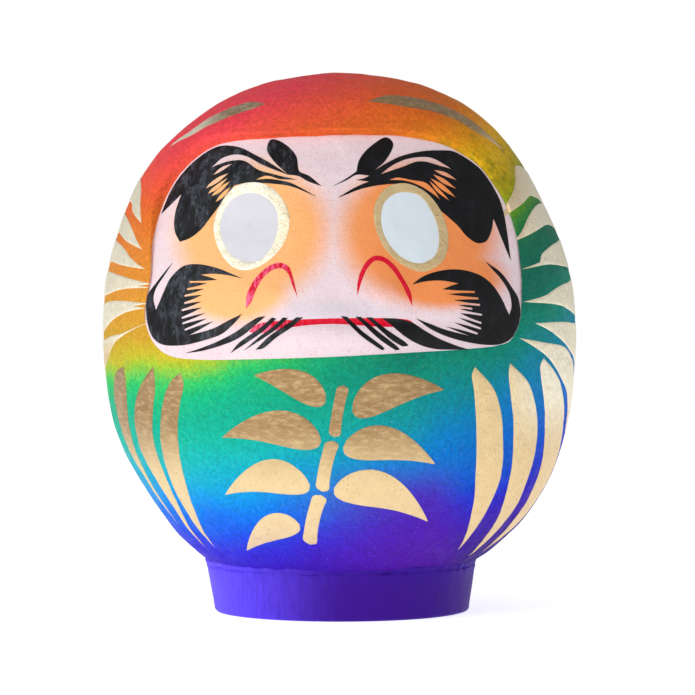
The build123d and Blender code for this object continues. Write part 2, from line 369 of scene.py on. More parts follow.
def make_strip(material):
    """The strip inside the joint, drawn in with the uneven shell that it is pasted to."""
    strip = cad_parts["seam_strip"]
    points = np.array([strip.matrix_world @ v.co for v in strip.data.vertices]) / MM
    angle = np.arctan2(points[:, 0], -points[:, 1])
    inward = (0, 0, WAIST) - points
    inward /= np.linalg.norm(inward, axis=1)[:, None]
    points += inward * (0.6 - np.minimum(moulding(angle, points[:, 2]), 0))[:, None]
    faces = [tuple(face.vertices) for face in strip.data.polygons]
    return new_piece("seam_strip", points, faces, material, ("seam_strip",))


# ------------------------------------------------------------ paint
def loop_of(first, *others):
    """A closed loop of smooth runs. Each run goes on from the end of the last one, in a corner."""
    runs = [first]
    for run in others:
        runs.append([runs[-1][-1], *run])
    loop = np.vstack([smooth_line(run)[:-1] for run in runs])
    keep = np.linalg.norm(loop - np.roll(loop, 1, axis=0), axis=1) > 0.05
    return loop[keep]


def round_loop(points):
    """A closed smooth loop without corners."""
    given = np.array(points, float)
    wrapped = np.vstack([given[-3:], given, given[:3]])
    line = smooth_line(wrapped)
    start = np.argmin(np.linalg.norm(line - given[0], axis=1))
    rest = np.linalg.norm(line - given[0], axis=1)
    rest[:start + 5] = 1e9
    return line[start:np.argmin(rest)]


def fill(loops, holes, spacing=1.0):
    """Points about spacing apart, and triangles, that cover closed loops except for holes."""
    outlines = [*loops, *holes]
    points = []
    edges = []
    for loop in outlines:
        first = len(points)
        points.extend(loop)
        edges += [(first + i, first + (i + 1) % len(loop)) for i in range(len(loop))]
    border = np.array(points)
    low, high = border.min(0), border.max(0)
    columns = np.arange(low[0], high[0], spacing)
    rows = np.arange(low[1], high[1], spacing * 0.87)
    grid = np.array([(x + (i % 2) * spacing / 2, z) for i, z in enumerate(rows) for x in columns])
    rim = []
    for loop in outlines:
        along = np.roll(loop, -1, axis=0) - np.roll(loop, 1, axis=0)
        normal = np.stack([-along[:, 1], along[:, 0]], axis=1)
        normal /= np.linalg.norm(normal, axis=1)[:, None] + 1e-9
        rim += [loop + normal * 0.4, loop - normal * 0.4]
    inner = np.vstack([*rim, grid])
    if len(inner):
        gap = border_gap(inner, outlines)
        least = np.concatenate([np.full(len(inner) - len(grid), 0.33), np.full(len(grid), 0.75)])
        covered = np.any([inside(inner, loop) for loop in loops], axis=0)
        for hole in holes:
            covered &= ~inside(inner, hole)
        inner = inner[covered & (gap > least)]
    everything = [Vector(p) for p in np.vstack([border, inner])]
    flat, _, faces, *_ = delaunay_2d_cdt(everything, edges, [], 0, 1e-4)
    flat = np.array([tuple(v) for v in flat])
    faces = np.array([f for f in faces if len(f) == 3])
    middles = flat[faces].mean(axis=1)
    covered = np.any([inside(middles, loop) for loop in loops], axis=0)
    for hole in holes:
        covered &= ~inside(middles, hole)
    faces = faces[covered]
    used, faces = np.unique(faces, return_inverse=True)
    faces = faces.reshape(-1, 3)
    corners = flat[faces]
    one, other = corners[:, 1] - corners[:, 0], corners[:, 2] - corners[:, 0]
    dark_reflection = one[:, 0] * other[:, 1] - one[:, 1] * other[:, 0] < 0
    faces[dark_reflection] = faces[dark_reflection][:, ::-1]
    return flat[used], faces


def border_gap(points, outlines):
    gaps = [nearest(points, np.vstack([loop, loop[:1]]))[0] for loop in outlines]
    return np.min(gaps, axis=0)


def film(name, loops, material, thickness, under=0.0, holes=(), chart="face", crinkle=0.0):
    """A closed, thin layer of paint whose edges round down to the paint under it."""
    flat, faces = fill(loops, holes)
    height = flat[:, 1]
    if chart == "face":
        azimuth = np.degrees(np.arcsin(np.clip(flat[:, 0] / body_radius(height), -1, 1)))
    else:
        azimuth = flat[:, 0] / ROUND
    count = len(flat)
    directed = np.concatenate([faces[:, [0, 1]], faces[:, [1, 2]], faces[:, [2, 0]]])
    known = {tuple(e) for e in directed.tolist()}
    open_edges = [(a, b) for a, b in known if (b, a) not in known]
    on_border = np.zeros(count, bool)
    on_border[np.array(open_edges).ravel()] = True
    across = np.column_stack([flat, np.zeros(count)])
    uneven = crinkle * (waves(across, 1.6, 31) + 0.7 * waves(across, 4.0, 32))
    lift = np.where(on_border, under + FILM_EDGE, under + thickness + uneven)
    top, out = on_doll(azimuth, height, lift)
    bottom = top - out * (lift + FILM_DEPTH)[:, None]
    sides = [(b, a, a + count, b + count) for a, b in open_edges]
    all_faces = faces.tolist() + (faces[:, ::-1] + count).tolist() + sides
    return new_piece(name, np.vstack([top, bottom]), all_faces, material, (name,))


# ------------------------------------------------------------ paint outlines
# Outlines on the face are (x, height). Those round the side are (azimuth, height), "side" charts,
# and are stretched to millimetres so that curves and spacings come out even.
def round_side(*strokes):
    return [loop_of(*[[(azimuth * ROUND, height) for azimuth, height in run] for run in runs])
            for runs in strokes]


def on_face(*strokes):
    return [loop_of(*runs) for runs in strokes]


def hair(root, tip, sag):
    """A run from root to tip that sags in its middle; it leaves root itself out."""
    return [((root[0] + tip[0]) / 2, (root[1] + tip[1]) / 2 - sag), tip]


def comb(slits, tips, inward, sag=0.15, half=0.42):
    """The runs of a row of hairs, from the lowest slit up; the slits between them end round."""
    runs = []
    start = slits[0]
    for tip, (x, z) in zip(tips, slits[1:-1]):
        under, over = (x, z - half), (x, z + half)
        runs += [hair(start, tip, sag), hair(tip, under, -sag), [(x + inward, z), over]]
        start = over
    return [*runs, hair(start, tips[-1], sag), hair(tips[-1], slits[-1], -sag)]


def stroke(start, end, bend, count, half):
    """A closed loop half(share) to each side of a line from start to end, bent to one side."""
    start, end = np.array(start, float), np.array(end, float)
    along = end - start
    across = np.array([-along[1], along[0]]) / np.linalg.norm(along)
    share = np.linspace(0, 1, count)[:, None]
    middle = start + along * share + across * bend * 4 * share * (1 - share)
    side = across * half(share)
    return np.vstack([(middle + side)[:-1], (middle - side)[:0:-1]])


def leaf(start, end, width, bend):
    """A brush stroke that lands full and lifts off in a point."""
    count = max(12, int(np.hypot(*np.subtract(end, start)) / 0.8))
    return stroke(start, end, bend, count,
                  lambda share: width / 2 * np.sin(pi * share**0.62) ** 0.85)


def stem(low, high, width, bend):
    """A length of bamboo: a straight stroke that swells into a blunt knot at both ends."""
    def half(share):
        off_middle = np.abs(2 * share - 1)
        return width / 2 * (0.72 + 0.28 * off_middle**5) * (1 - off_middle**14)
    return stroke(low, high, bend, 30, half)


def grown(loop, amount):
    """A smooth loop moved outwards, or inwards if amount is negative."""
    middle = loop.mean(axis=0)
    reach = np.linalg.norm(loop - middle, axis=1)[:, None]
    return middle + (loop - middle) * (1 + amount / reach)


eye_ring_out_left = round_loop([
    (-33, 187), (-25.5, 184.5), (-19.5, 177.5), (-17.5, 169.5), (-19.5, 161.5), (-25, 154.5),
    (-33, 150), (-40, 150.5), (-46.5, 157), (-50, 167), (-48.5, 176), (-42, 184.5)])
eye_ring_in_left = round_loop([
    (-35, 182.5), (-28, 180.5), (-23.5, 175.5), (-22.5, 168), (-25, 159), (-29.5, 154),
    (-35.5, 153), (-42, 156), (-46.5, 164), (-47, 172), (-42.5, 179.5)])
eye_ring_out_right = round_loop([
    (29, 186.5), (36.5, 184.5), (42.5, 179.5), (47, 171), (48.5, 162), (46, 153.5), (38.5, 149),
    (31, 151), (23, 157.5), (18.5, 166), (17.5, 175.5), (21.5, 183.5)])
eye_ring_in_right = round_loop([
    (30, 182.5), (36.5, 181), (41.5, 174.5), (44.5, 165), (43, 156), (37, 152.5), (30, 154.5),
    (23.5, 161), (20.5, 169), (21.5, 177.5), (25.5, 181.5)])

brow_left = loop_of(
    [(-74.2, 174.7), (-70, 184.5), (-64.6, 192.2), (-58, 198.6), (-49.5, 203), (-40.5, 202.5),
     (-31, 197.7), (-19, 190.5)],
    [(-25, 196), (-28, 201), (-26.5, 205.5), (-20, 203), (-15.5, 198),
     (-14, 191.5), (-10, 189.5), (-4.5, 185)],
    [(-10, 187), (-14.5, 189.5), (-19, 190.2)],
    [(-30, 194.5), (-37, 198.5), (-42, 199.3), (-47.5, 197.8), (-52, 193.8)],
    [(-44, 196.5), (-38, 196.5), (-31, 192), (-24.5, 190.3), (-15, 188)],
    [(-22, 188.4), (-28, 189.7), (-32.5, 188)],
    [(-26, 188.3), (-18.5, 187), (-13, 184.3), (-6.5, 180.5)],
    [(-17.5, 185.2), (-24, 186.3), (-37, 186.5), (-41.5, 185.7)],
    [(-51, 173.5), (-55, 168), (-60, 164), (-65, 162.3)],
    [(-67, 166), (-67.7, 171), (-66.7, 177.5), (-65, 183)],
    [(-69.5, 178.7), (-74.2, 174.7)])
slits_left = on_face(
    [[(-51.2, 190.5), (-47.5, 193.8), (-42.5, 195.5)], [(-48, 191.7), (-51.2, 190.5)]],
    [[(-54.2, 184.8), (-52.7, 186.8), (-48.7, 189.6), (-44, 191.3)], [(-48.7, 187.5),
      (-54.2, 184.8)]],
    [[(-53.5, 182.5), (-51.7, 184.7), (-48, 187.3), (-44.2, 189.3)], [(-48.7, 184.8),
      (-53.5, 182.5)]],
    [[(-52, 181.5), (-50, 183.7), (-46.5, 186.2), (-43.2, 187.7)], [(-47.2, 183.5), (-52, 181.5)]],
    [[(-50, 178.8), (-48.5, 181.2), (-45.5, 183.8), (-43, 185.2)], [(-45.5, 181.5), (-50, 178.8)]])

brow_right = loop_of(
    [(0.5, 185), (6.5, 188.7), (10, 191.2)],
    [(11, 196), (14.7, 201.2), (22, 206), (25, 203.2), (22, 196), (17.5, 191.8)],
    [(27.5, 197.5), (36, 200), (44, 201), (51, 200.7), (59.8, 195), (65.8, 187.7),
     (70, 179.5), (72.5, 170), (75.2, 154.5)],
    [(69.7, 167), (67.5, 172.2)],
    [(66.5, 166.5), (64.2, 162.2), (60.5, 161.5), (56.5, 164), (52.5, 168.7),
     (42.7, 177.2)],
    [(39, 181.7), (35, 184.5), (30.2, 186), (24, 186), (12.5, 184), (2.5, 180)],
    [(6.5, 182.7), (11, 185.2), (15.3, 187)],
    [(10, 187.7)],
    [(13, 188.3), (15.5, 189.5)],
    [(10, 189.8), (6.2, 187.7), (0.5, 185)])
slits_right = on_face(
    [[(20, 190), (25, 194), (30, 196.5), (36, 197.7), (42, 197.3), (50, 193)], [(45.5, 194),
      (38, 195.7), (34.5, 195.5), (29.5, 193.5), (20, 190)]],
    [[(42, 192.3), (47, 191.6), (52.3, 188)], [(46.2, 190), (42, 192.3)]],
    [[(41.7, 190.6), (46.5, 188.7), (51.9, 184.2)], [(45.7, 187), (41.7, 190.6)]],
    [[(40.7, 189), (46, 186.2), (51.7, 180.4)], [(45.5, 184), (40.7, 189)]],
    [[(40.2, 188), (44, 184.8), (49.2, 179)], [(43.8, 182.9), (40.2, 188)]],
    [[(23.5, 187.8), (27, 188.8), (33, 187.8), (39, 186.8), (42.5, 183.7), (45.2, 179.5)],
     [(41.5, 182.5), (36, 185.6), (30.2, 187.4), (23.5, 187.8)]])

whisker_left = loop_of(
    [(-68, 153.3), (-75, 144.7), (-78.3, 140.5), (-79.3, 134.5), (-78.3, 127.5), (-76, 122),
     (-72, 119), (-63, 118.5), (-52.5, 120.8), (-45.5, 123.3), (-40.3, 127.5), (-36.7, 131.5)],
    [(-42.3, 129), (-49.3, 125.5), (-60, 122.6)],
    *comb([(-60, 122.6), (-61.5, 125), (-62.5, 127.7), (-62.8, 130), (-62.8, 133.2),
           (-61.7, 136.2), (-61.7, 139.2), (-60.7, 142), (-59.7, 145), (-55.2, 148)],
          [(-49.2, 128.5), (-52, 129.7), (-52.5, 132), (-54.2, 134.3), (-54.5, 136.7),
           (-54.2, 139.5), (-53.3, 142), (-52.2, 144.3), (-47.7, 145.7)], -0.4),
    [(-49.5, 148.3), (-43.7, 147.7), (-37, 146.2)],
    [(-48, 150.7), (-57, 152.5), (-63, 151.7), (-68, 147), (-70.7, 142),
     (-74.7, 133.3)],
    [(-76, 138.3), (-75.2, 142), (-70.5, 149), (-68, 153.3)])
whisker_right = loop_of(
    [(33.7, 143.7), (37.2, 146.5), (41.7, 148.5), (47, 149.7), (52.3, 150), (57.5, 149.2),
     (63, 147), (67, 143.5), (70.5, 138.5), (74, 131.2)],
    [(75, 134.5), (74.5, 140), (71, 146), (64.2, 153.5)],
    [(70, 149.7), (75, 143.7), (78, 138.7), (78.7, 132.2), (78, 126.7),
     (75, 121.7), (70, 119), (64, 118.7), (56.2, 119.8), (48.2, 122), (41, 125.3), (35, 129.7)],
    [(40.5, 127.5), (47, 125), (57.5, 122.3)],
    *comb([(57.5, 122.3), (60.2, 123.4), (61.5, 125.5), (61.7, 127.8), (62, 131.2), (58, 133.7),
           (61.2, 135.3), (60.7, 138), (59.2, 140.7), (52.7, 144.2)],
          [(47.7, 126.2), (50.7, 128), (52.5, 130), (53.2, 131.8), (53.2, 133.5), (52.5, 135.2),
           (50.7, 137.2), (48.2, 139.7), (46, 141.7)], 0.4),
    [(45.5, 145.3), (39.2, 145), (33.7, 143.7)])

moustache_left = on_face(
    [[(-61.5, 115.2), (-54, 116.2), (-45.7, 118.5), (-39.5, 120.8), (-34.5, 124), (-26.7, 130.5)],
     [(-30, 130), (-34, 127.7), (-39.5, 124), (-47, 120.3), (-54, 117.5), (-61.5, 115.2)]],
    [[(-24, 130), (-28.5, 126), (-38, 119.5), (-41.7, 115.3)], [(-34, 120), (-27, 124.8),
      (-22.3, 129.5)], [(-24, 130)]],
    [[(-19.5, 130), (-23.7, 126), (-29, 122.2), (-36, 116.3)], [(-27.5, 121.5), (-21.7, 125.5),
      (-17.5, 129.7)], [(-19.5, 130)]],
    [[(-14, 130), (-19.2, 126.2), (-25, 122.3), (-31, 116.7)], [(-28, 117.2), (-22.2, 121.7),
      (-15.7, 126), (-11.3, 130)], [(-14, 130)]])
moustache_right = on_face(
    [[(4.2, 130.5), (13, 122), (21, 116.5)], [(22, 117), (12.5, 124.7), (6.7, 130.3)],
     [(4.2, 130.5)]],
    [[(10.2, 130.3), (20, 121), (26.5, 116.5)], [(28.2, 116.8), (18, 125.3), (12.5, 130.2)],
     [(10.2, 130.3)]],
    [[(14.7, 130), (25, 120.7), (29.5, 118)], [(31.8, 118.5), (21.5, 126), (17, 130)],
     [(14.7, 130)]],
    [[(21.2, 129.7), (27.2, 129.5), (33.2, 128), (38.5, 124.7), (44.5, 121.3), (50.7, 118.7),
      (56.7, 116.7)], [(43, 117), (36.5, 118.8), (30.5, 122.2), (25.2, 126.5), (21.2, 129.7)]])
mouth = loop_of(
    [(-33.7, 124), (-31, 126.7), (-25.7, 128.2), (-15, 129), (8, 129.7), (28, 129.5),
     (32.5, 128.8), (34.8, 127)],
    [(28.5, 126.1), (20, 126.1), (0, 127.2), (-15, 126), (-23, 124.5),
     (-28.5, 123.5), (-33.7, 124)])
nostril_left = loop_of(
    [(-35, 133.5), (-34.7, 139.3), (-32.5, 144.5), (-29, 148.9), (-25, 151.8), (-21, 152.7),
     (-17.5, 151), (-15.5, 146), (-13.5, 138.2)],
    [(-15.7, 143), (-17.7, 148), (-20.3, 150.2), (-24, 149.7), (-27.7, 146.8),
     (-30.7, 141.8), (-32.5, 136.8), (-35, 133.5)])
nostril_right = loop_of(
    [(11, 139), (11, 143.7), (12, 148.2), (14.7, 153.2), (18, 155.5), (22, 155), (26.7, 151.2),
     (30.2, 145.7), (33, 140.2), (33.5, 134.7)],
    [(31.5, 139), (28.7, 144.7), (25, 150), (21.5, 153), (18, 153.3), (15, 150.2),
     (13, 145.7), (11, 139)])

rays_left = round_side(
    [[(-55.5, 170.5), (-59, 178.5), (-65.5, 187), (-80, 193), (-83, 189), (-80, 184),
      (-70, 180.5), (-64.5, 176.5), (-55.5, 170.5)]],
    [[(-53.5, 159.5), (-59.5, 166.5), (-64, 171), (-72, 175), (-88, 178), (-91, 173),
      (-88, 168.5), (-76, 168.5), (-66, 164.5), (-53.5, 159.5)]],
    [[(-51, 151), (-60, 156.7)], [(-64, 160), (-70, 163), (-90, 165.5), (-93, 160), (-90, 155.5),
      (-76, 155.5), (-65, 153.5), (-51, 151)]],
    [[(-47.5, 144.6), (-57, 147), (-65, 149), (-76, 151), (-94, 152.5), (-97, 147), (-94, 141),
      (-76, 141), (-64, 142.8), (-47.5, 143)], [(-53, 144)], [(-47.5, 144.6)]],
    [[(-47.5, 136.2), (-60.5, 137.7), (-68.5, 138), (-80, 137), (-95, 134.5), (-98, 129),
      (-95, 124), (-82, 123.5), (-74, 126.7), (-66, 130.5), (-58, 133), (-49, 134.3)],
     [(-55, 135.4)], [(-47.5, 136.2)]],
    [[(-45.5, 129), (-55, 125.7), (-61.5, 123.7), (-69.5, 122.5), (-84, 119), (-96, 114),
      (-97, 109), (-93, 104), (-82, 107), (-72, 113.5), (-67, 119), (-62.5, 122), (-45.5, 129)]])
rays_right = round_side(
    [[(44, 171), (50.5, 180), (59, 191), (64, 196.5), (75, 199), (88, 196), (91, 190), (87, 184),
      (74, 184.5), (65, 184), (56, 179), (44, 171)]],
    [[(49.5, 163), (52.7, 166.7)], [(57.5, 173.5), (66, 179.5), (80, 183), (92, 183), (95, 177),
      (92, 171), (78, 172), (70, 171.7), (49.5, 163)]],
    [[(51, 151), (59.5, 154.5)], [(61, 157.7), (66, 161), (73, 163.7), (96, 166), (99, 160),
      (96, 154), (76, 153.5), (64, 153.7), (51, 151)]],
    [[(50, 137), (60, 140), (68, 144), (76, 146.2), (98, 148.5), (101, 141), (98, 133.5),
      (88, 132), (80.5, 132.5), (68, 136), (50, 137)]],
    [[(54.5, 128), (67, 128.7), (77, 128.5), (99, 125), (101, 117), (97, 108), (88, 109),
      (80, 113.5), (68, 121), (63.5, 123.7), (54.5, 128)]],
    [[(48, 121.5), (58.5, 119.7), (71, 117.5), (79, 111.5), (84.5, 103), (86, 92), (83, 80),
      (80, 90), (76, 97), (68, 105.5), (60, 113.5), (48, 121.5)]])
ribs_left = round_side(
    [[(-60, 109.5), (-66, 106.5), (-69.5, 98), (-70.5, 85.5), (-70.5, 76), (-68, 56), (-63, 39)],
     [(-66.3, 60), (-64.5, 73.5), (-60.5, 93.5), (-59.3, 103), (-60, 109.5)]],
    [[(-47, 109.5), (-51, 104), (-55, 96), (-59.5, 79.5), (-60.7, 67), (-59.5, 55),
      (-55.5, 29.5)], [(-54.5, 48), (-52.5, 70.5), (-48.5, 92), (-46.7, 101), (-47, 109.5)]],
    [[(-37.5, 107), (-41, 103), (-44.5, 94), (-48.5, 75.5), (-51, 63), (-52, 51.5), (-48.5, 30)],
     [(-46.2, 48), (-42, 72.5), (-38.5, 94.5), (-36.8, 102), (-37.5, 107)]])
ribs_right = round_side(
    [[(34.5, 109.5), (33.7, 106), (34.5, 100), (37.5, 74), (40, 57.5), (43, 44), (48, 30)],
     [(47.5, 50), (47.5, 62.5), (44, 88), (40.5, 99.5), (34.5, 109.5)]],
    [[(44.8, 111), (44.5, 107), (48.5, 85), (52, 58), (55, 42.5), (58.5, 26.5)], [(61, 46),
      (60.3, 58), (59.5, 79), (57, 90.5), (52.5, 102), (44.8, 111)]],
    [[(58, 113), (56.7, 110), (62, 87.5), (65, 72.5), (67, 50), (66.5, 28.5)], [(73, 37.5),
      (79, 46), (81, 57), (77, 85.5), (71, 99), (64.5, 107), (58, 113)]])
hood_left = round_side([
    [(-26, 220), (-34.5, 222), (-42, 220.3), (-49, 216.5), (-54.5, 211), (-61.5, 204.5)],
    [(-51, 207), (-43.5, 211.5), (-36.5, 215.5), (-26, 220)]])
hood_right = round_side([
    [(12.5, 220.5), (18, 222.5), (26.5, 223.7), (37, 223), (47.5, 220.5), (55.5, 216),
     (64.5, 204.5)],
    [(52.5, 209), (45, 214), (37, 216.7), (28, 217.5), (12.5, 220.5)]])

# A sprig of bamboo, brushed broadly: a leaning stem in three lengths and its leaves.
sprig = [stem((-10, 34), (-4.5, 56), 8, 1), stem((-4, 57.5), (1, 79), 7.5, 0.8),
         stem((1.5, 80.5), (5.5, 102), 6.5, 0.5)]
for start, end, width, bend in (
        ((9, 91), (47, 100), 15, 5), ((-2, 95), (-32, 106), 12, -3), ((-4, 79), (-46, 80), 15, -5),
        ((5, 76), (43, 69), 15, 5), ((-9, 60), (-46, 55), 15, -6), ((1, 59), (40, 44), 16, 6),
        ((-14, 43), (-38, 30), 12, -4)):
    sprig.append(leaf(start, end, width, bend))


# ------------------------------------------------------------ materials
def linear(red, green, blue):
    """Screen colour (0 to 255) as the linear colour that a shader takes."""
    parts = [c / 255 for c in (red, green, blue)]
    return [p / 12.92 if p <= 0.04045 else ((p + 0.055) / 1.055) ** 2.4 for p in parts] + [1.0]


class Nodes:
    """Short calls for making a material's nodes."""

    def __init__(self, name):
        self.material = bpy.data.materials.new(name)
        self.material.use_nodes = True
        self.tree = self.material.node_tree
        self.shader = self.tree.nodes["Principled BSDF"]
        self.place = self.tree.nodes.new("ShaderNodeTexCoord").outputs["Object"]

    def link(self, source, socket):
        self.tree.links.new(source, socket)

    def put(self, value, socket):
        """Links an output, or sets a plain value."""
        if isinstance(value, bpy.types.NodeSocket):
            self.link(value, socket)
        else:
            socket.default_value = value

    def math(self, operation, first, second):
        node = self.tree.nodes.new("ShaderNodeMath")
        node.operation = operation
        self.put(first, node.inputs[0])
        self.put(second, node.inputs[1])
        return node.outputs[0]

    def plus(self, first, second):
        return self.math("ADD", first, second)

    def times(self, first, second):
        return self.math("MULTIPLY", first, second)

    def vector(self, operation, *values):
        node = self.tree.nodes.new("ShaderNodeVectorMath")
        node.operation = operation
        for value, socket in zip(values, node.inputs):
            self.put(value, socket)
        return node.outputs

    def noise(self, size, detail=2.0, roughness=0.5, stretch=None, distortion=0.0):
        """Noise from 0 to 1 whose lumps are about size millimetres."""
        node = self.tree.nodes.new("ShaderNodeTexNoise")
        node.inputs["Scale"].default_value = 1 / (size * MM)
        node.inputs["Detail"].default_value = detail
        node.inputs["Roughness"].default_value = roughness
        node.inputs["Distortion"].default_value = distortion
        where = self.vector("MULTIPLY", self.place, stretch)[0] if stretch else self.place
        self.link(where, node.inputs["Vector"])
        return node.outputs["Fac"]

    def axes(self):
        """The place's x, y and z in millimetres."""
        node = self.tree.nodes.new("ShaderNodeSeparateXYZ")
        self.link(self.vector("MULTIPLY", self.place, (1 / MM,) * 3)[0], node.inputs[0])
        return node.outputs

    def ramp(self, factor, stops):
        """A colour ramp of (place from 0 to 1, colour) stops."""
        node = self.tree.nodes.new("ShaderNodeValToRGB")
        elements = node.color_ramp.elements
        while len(elements) < len(stops):
            elements.new(0.5)
        for element, (where, colour) in zip(elements, stops):
            element.position = where
            element.color = colour
        self.put(factor, node.inputs[0])
        return node.outputs[0]

    def band(self, value, low, high, first=0.0, last=1.0):
        """Value's place between low and high, eased, as a number from first to last."""
        node = self.tree.nodes.new("ShaderNodeMapRange")
        node.interpolation_type = "SMOOTHSTEP"
        for number, socket in zip((value, low, high, first, last), node.inputs):
            self.put(number, socket)
        return node.outputs[0]

    def mix(self, factor, first, second, blend="MIX"):
        node = self.tree.nodes.new("ShaderNodeMix")
        node.data_type = "RGBA"
        node.blend_type = blend
        self.put(factor, node.inputs[0])
        self.put(first, node.inputs[6])
        self.put(second, node.inputs[7])
        return node.outputs[2]

    def bump(self, height, distance, under=None):
        """A bump of distance millimetres, on top of another one."""
        node = self.tree.nodes.new("ShaderNodeBump")
        node.inputs["Strength"].default_value = 1.0
        node.inputs["Distance"].default_value = distance * MM
        self.put(height, node.inputs["Height"])
        if under:
            self.link(under, node.inputs["Normal"])
        return node.outputs[0]

    def near(self, middle, reach):
        """How far the place is from a point of the face, in x and height, as a share of reach."""
        scale = (1 / (reach[0] * MM), 0, 1 / (reach[1] * MM))
        shift = (-middle[0] / reach[0], 0, -middle[1] / reach[1])
        offset = self.vector("MULTIPLY_ADD", self.place, scale, shift)[0]
        return self.vector("LENGTH", offset)["Value"]

    def finish(self, colour, roughness, normal=None, **plain):
        """Sets the shader's sockets; plain names take constants."""
        self.put(colour, self.shader.inputs["Base Color"])
        self.put(roughness, self.shader.inputs["Roughness"])
        if normal:
            self.link(normal, self.shader.inputs["Normal"])
        for name, value in plain.items():
            self.shader.inputs[name.replace("_", " ")].default_value = value
        return self.material


# The airbrushed colours from the foot up, in millimetres of rainbow_field: on the left, where
# green turns straight into gold, and on the right, where it stays a deep teal for longer. The
# right-hand colours are also darker through the blues and teals: partly the paint's own colour,
# partly painted shade on the side turned away from the key light.
FIELD_TOP = 260.0
RAINBOW_LEFT = [
    (22, (54, 12, 150)), (32, (60, 26, 180)), (42, (58, 30, 200)), (51, (52, 44, 216)),
    (60, (18, 78, 230)), (70, (6, 122, 240)), (80, (6, 158, 234)), (90, (12, 178, 212)),
    (100, (18, 190, 190)), (112, (16, 190, 166)), (122, (14, 184, 150)), (132, (20, 194, 132)),
    (140, (54, 208, 104)), (147, (156, 208, 62)), (153, (210, 196, 46)), (164, (216, 168, 44)),
    (186, (232, 156, 54)), (206, (232, 138, 52)), (219, (232, 116, 42)), (232, (248, 98, 56)),
    (248, (255, 74, 88)),
]
RAINBOW_RIGHT = [
    (22, (56, 10, 134)), (32, (60, 14, 162)), (42, (60, 26, 190)), (51, (36, 46, 214)),
    (60, (8, 78, 222)), (70, (4, 112, 222)), (80, (4, 130, 212)), (90, (6, 142, 190)),
    (100, (12, 146, 158)), (111, (16, 146, 122)), (122, (16, 120, 102)), (138, (24, 118, 90)),
    (148, (36, 132, 74)), (155, (96, 160, 42)), (168, (196, 176, 32)), (182, (252, 196, 28)),
    (196, (250, 158, 32)), (210, (244, 118, 36)), (226, (250, 104, 50)), (240, (252, 90, 78)),
    (250, (255, 86, 98)),
]


def rainbow_field(nodes):
    """The airbrushed gradient's own height, as a share of FIELD_TOP: it climbs to the right."""
    x, y, z = nodes.axes()
    twist = nodes.times(nodes.times(nodes.math("SUBTRACT", z, WAIST), -0.0015), x)
    slope = nodes.plus(nodes.times(x, -0.35), nodes.times(y, -0.2))
    field = nodes.plus(nodes.plus(z, slope), twist)
    for size, detail, roughness, reach in ((26, 4, 0.6, 18), (0.8, 3, 0.75, 20)):
        cloud = nodes.math("SUBTRACT", nodes.noise(size, detail, roughness), 0.5)
        field = nodes.plus(field, nodes.times(cloud, reach))
    return nodes.math("DIVIDE", field, FIELD_TOP)


def rainbow_paint():
    nodes = Nodes("rainbow_paint")
    x, _, z = nodes.axes()
    field = rainbow_field(nodes)
    # Blending the left and right colours across the doll carries partly painted shade onto the
    # right side.
    left, right = (
        nodes.ramp(field, [(height / FIELD_TOP, linear(*colour)) for height, colour in stops])
        for stops in (RAINBOW_LEFT, RAINBOW_RIGHT))
    colour = nodes.mix(nodes.band(x, -62, 72), left, right)
    patch = nodes.times(nodes.band(x, 26, 62), nodes.band(z, 176, 196))
    olive = nodes.times(patch, nodes.band(nodes.noise(11, 5, 0.7), 0.46, 0.62, 0, 0.7))
    olive = nodes.times(olive, nodes.band(z, 222, 200))
    colour = nodes.mix(olive, colour, linear(118, 132, 26))
    violet = nodes.times(nodes.band(x, -30, 30), nodes.band(x, 60, 40))
    violet = nodes.times(violet, nodes.band(z, 74, 52, 0, 0.7))
    colour = nodes.mix(violet, colour, linear(92, 22, 176))
    mottle = nodes.band(nodes.noise(1.8, 5, 0.75), 0.36, 0.66, 0, 0.42)
    colour = nodes.mix(mottle, colour, linear(176, 168, 160), "MULTIPLY")
    dust = nodes.band(nodes.noise(0.6, 3, 0.85), 0.57, 0.66, 0, 0.6)
    colour = nodes.mix(dust, colour, linear(110, 92, 90), "MULTIPLY")
    pale = nodes.band(nodes.noise(0.8, 2, 0.9), 0.68, 0.74, 0, 0.3)
    colour = nodes.mix(pale, colour, linear(255, 214, 190))
    pulp = nodes.bump(nodes.noise(1.0, 4, 0.7), 0.3)
    lumps = nodes.bump(nodes.noise(5, 3, 0.55), 0.7, under=pulp)
    return nodes.finish(colour, nodes.band(nodes.noise(6, 2), 0.3, 0.7, 0.5, 0.66), lumps,
                        Specular_IOR_Level=0.08)


def foot_paint():
    nodes = Nodes("foot_paint")
    x, _, z = nodes.axes()
    # Painted light and shade: the violet is lighter and bluer on the left, towards the key light,
    # and darker on the right.
    side = nodes.band(x, -60, 8)
    colour = nodes.mix(side, linear(104, 78, 255), linear(60, 10, 138))
    colour = nodes.mix(nodes.band(z, 12, 24, 0, 0.2), colour, linear(58, 30, 196))
    streaks = nodes.noise(1.6, 3, 0.6, stretch=(1, 1, 0.15))
    colour = nodes.mix(nodes.band(streaks, 0.35, 0.75, 0, 0.3), colour, linear(40, 10, 120))
    creased = nodes.times(nodes.band(z, 23.2, 24.4),
                         nodes.band(nodes.noise(1.5, 3, 0.8), 0.56, 0.64, 0, 0.8))
    colour = nodes.mix(creased, colour, linear(22, 6, 50))
    fine = nodes.bump(nodes.noise(1.0, 3, 0.6), 0.12)
    return nodes.finish(colour, 0.5, nodes.bump(streaks, 0.15, under=fine), Specular_IOR_Level=0.1)


